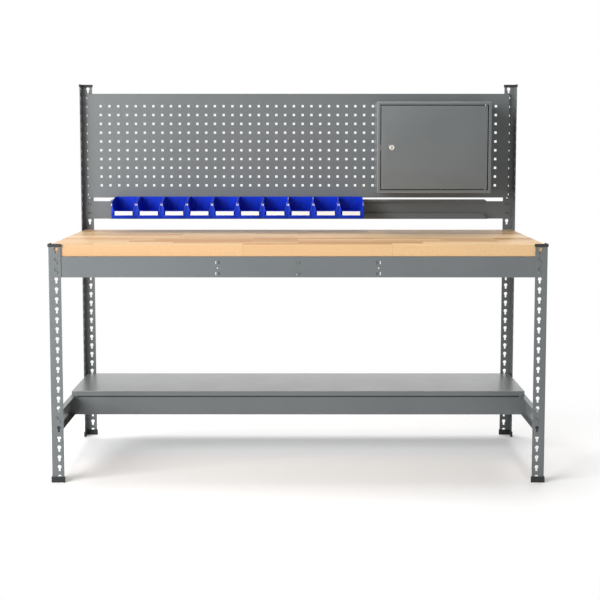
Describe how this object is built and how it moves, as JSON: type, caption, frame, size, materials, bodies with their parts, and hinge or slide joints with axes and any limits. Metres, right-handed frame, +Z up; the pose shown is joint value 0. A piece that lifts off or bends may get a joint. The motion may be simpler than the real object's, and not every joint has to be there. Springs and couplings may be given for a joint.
{
  "type": "workbench",
  "caption": "Free-standing steel workbench on slotted angle posts with a wood top, lower shelf, perforated tool panel, hanging bins and a lockable cabinet.",
  "frame": {"origin": "on the floor under the middle of the bench", "axes": "+X to the right along the bench, +Y to the back, +Z up"},
  "size_m": [1.8906, 0.7806, 1.5453],
  "materials": {
    "painted_steel": "satin grey powder coat",
    "black_plastic": "matt moulded",
    "beech": "oiled laminated staves",
    "blue_plastic": "smooth moulded",
    "label_card": "bare card",
    "bright_metal": "bright plated",
    "zinc_steel": "zinc plated"
  },
  "bodies": {
    "frame": {"front_left_post": "painted_steel", "front_right_post": "painted_steel", "rear_right_post": "painted_steel", "rear_left_post": "painted_steel", "rear_right_upper_post": "painted_steel", "rear_left_upper_post": "painted_steel", "left_splice_plate": "painted_steel", "right_splice_plate": "painted_steel", "front_top_beam": "painted_steel", "rear_top_beam": "painted_steel", "left_top_beam": "painted_steel", "right_top_beam": "painted_steel", "centre_tie_bar": "painted_steel", "left_shelf_end_beam": "painted_steel", "right_shelf_end_beam": "painted_steel", "rear_shelf_beam": "painted_steel", "front_shelf_beam": "painted_steel", "shelf_deck": "painted_steel", "bin_rail": "painted_steel", "rail_upper_lip": "painted_steel", "tool_panel": "painted_steel", "cabinet_shell": "painted_steel", "front_left_foot": "black_plastic", "front_right_foot": "black_plastic", "rear_right_foot": "black_plastic", "rear_left_foot": "black_plastic", "front_left_cap": "black_plastic", "front_right_cap": "black_plastic", "rear_right_upper_cap": "black_plastic", "rear_left_upper_cap": "black_plastic", "worktop": "beech", "upper_hinge_pin": "zinc_steel", "lower_hinge_pin": "zinc_steel", "lock_keeper": "zinc_steel"},
    "door": {"cabinet_door": "painted_steel", "lock_housing": "bright_metal", "lock_nut": "zinc_steel"},
    "lock": {"lock_plug": "bright_metal", "lock_cam": "zinc_steel"},
    "bin_01": {"bin_01": "blue_plastic", "bin_label_01": "label_card"},
    "bin_02": {"bin_02": "blue_plastic", "bin_label_02": "label_card"},
    "bin_03": {"bin_03": "blue_plastic", "bin_label_03": "label_card"},
    "bin_04": {"bin_04": "blue_plastic", "bin_label_04": "label_card"},
    "bin_05": {"bin_05": "blue_plastic", "bin_label_05": "label_card"},
    "bin_06": {"bin_06": "blue_plastic", "bin_label_06": "label_card"},
    "bin_07": {"bin_07": "blue_plastic", "bin_label_07": "label_card"},
    "bin_08": {"bin_08": "blue_plastic", "bin_label_08": "label_card"},
    "bin_09": {"bin_09": "blue_plastic", "bin_label_09": "label_card"},
    "bin_10": {"bin_10": "blue_plastic", "bin_label_10": "label_card"}
  },
  "joints": [
    {"name": "door_swing", "type": "hinge", "parent": "frame", "child": "door", "pos_m": [0.78525, 0.1804, 1.2755], "axis": [0, 0, 1], "range_deg": [0, 105]},
    {"name": "lock_turn", "type": "hinge", "parent": "door", "child": "lock", "pos_m": [0.39265, 0.18, 1.2755], "axis": [0, 1, 0], "range_deg": [0, 90]},
    {"name": "bin_01_lift", "type": "slide", "parent": "frame", "child": "bin_01", "axis": [0, 0, 1], "range_m": [0, 0.12]},
    {"name": "bin_02_lift", "type": "slide", "parent": "frame", "child": "bin_02", "axis": [0, 0, 1], "range_m": [0, 0.12]},
    {"name": "bin_03_lift", "type": "slide", "parent": "frame", "child": "bin_03", "axis": [0, 0, 1], "range_m": [0, 0.12]},
    {"name": "bin_04_lift", "type": "slide", "parent": "frame", "child": "bin_04", "axis": [0, 0, 1], "range_m": [0, 0.12]},
    {"name": "bin_05_lift", "type": "slide", "parent": "frame", "child": "bin_05", "axis": [0, 0, 1], "range_m": [0, 0.12]},
    {"name": "bin_06_lift", "type": "slide", "parent": "frame", "child": "bin_06", "axis": [0, 0, 1], "range_m": [0, 0.12]},
    {"name": "bin_07_lift", "type": "slide", "parent": "frame", "child": "bin_07", "axis": [0, 0, 1], "range_m": [0, 0.12]},
    {"name": "bin_08_lift", "type": "slide", "parent": "frame", "child": "bin_08", "axis": [0, 0, 1], "range_m": [0, 0.12]},
    {"name": "bin_09_lift", "type": "slide", "parent": "frame", "child": "bin_09", "axis": [0, 0, 1], "range_m": [0, 0.12]},
    {"name": "bin_10_lift", "type": "slide", "parent": "frame", "child": "bin_10", "axis": [0, 0, 1], "range_m": [0, 0.12]}
  ]
}
